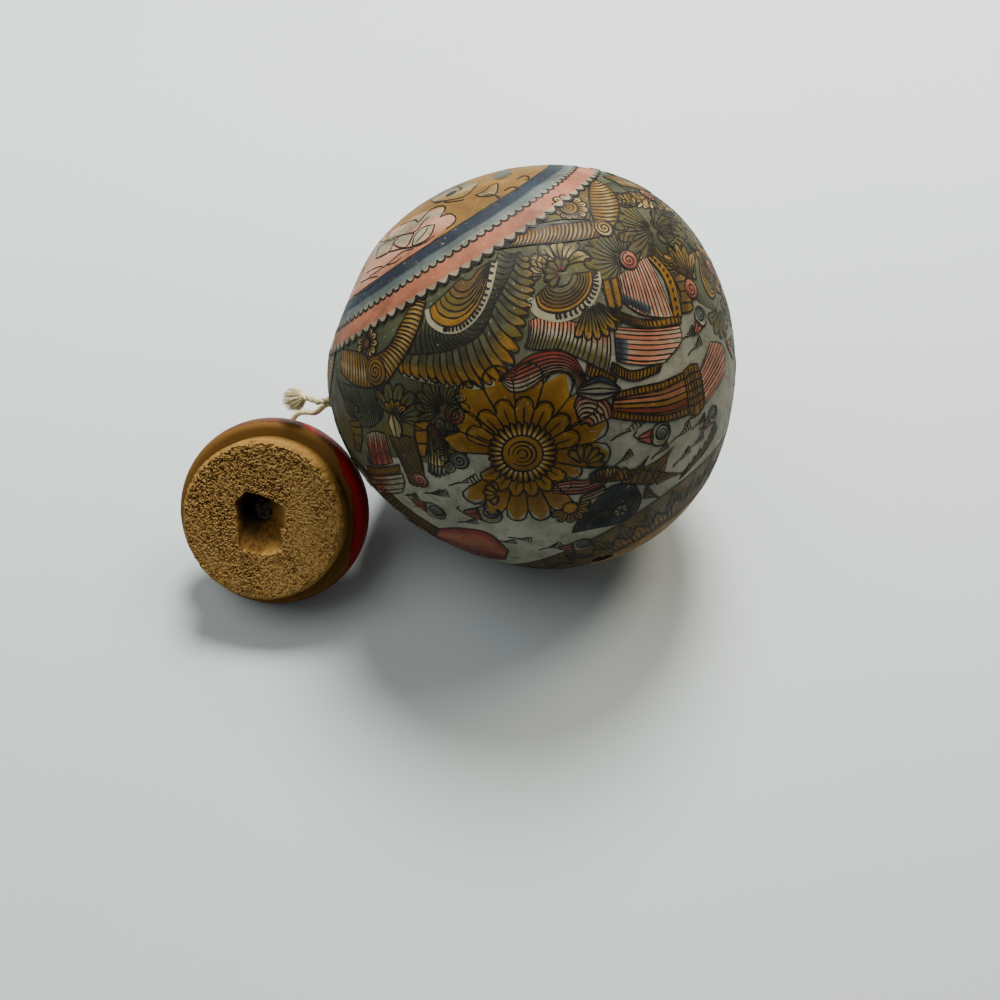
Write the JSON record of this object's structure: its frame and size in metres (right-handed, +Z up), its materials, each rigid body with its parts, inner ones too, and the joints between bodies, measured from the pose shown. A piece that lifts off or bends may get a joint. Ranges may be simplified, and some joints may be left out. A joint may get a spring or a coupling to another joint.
{
  "type": "lidded coconut shell jar",
  "caption": "Round jar made from a painted coconut shell, with a turned wooden stopper lid tied to it by a cotton cord.",
  "frame": {"origin": "on the table, on the small flat that the shell rests on", "axes": "+Z up, +Y away from the viewer, +X to the viewer's right; the lid lies to the left"},
  "size_m": [0.1606, 0.115, 0.114],
  "materials": {
    "painted_shell": "satin varnish over paint",
    "turned_wood": "bare, head lacquered",
    "cotton": "twisted cord"
  },
  "bodies": {
    "shell": {"coconut_shell": "painted_shell", "shell_knot": "cotton"},
    "tether": {"tether_upper": "cotton", "tether_lower": "cotton", "cord_tail": "cotton", "cord_tuft": "cotton"},
    "lid": {"lid_stopper": "turned_wood", "lid_knot": "cotton"}
  },
  "joints": [
    {"name": "lid_swing", "type": "hinge", "parent": "shell", "child": "tether", "pos_m": [-0.08396, -0.00297, 0.04499], "axis": [-0.542, 0.3665, -0.7562], "range_deg": [0, 239.09], "deforming": ["tether_upper", "cord_tail"]},
    {"name": "lid_push", "type": "slide", "parent": "tether", "child": "lid", "axis": [-0.0457, -0.7476, 0.6626], "range_m": [0, 0.0167], "deforming": ["tether_lower"]}
  ]
}
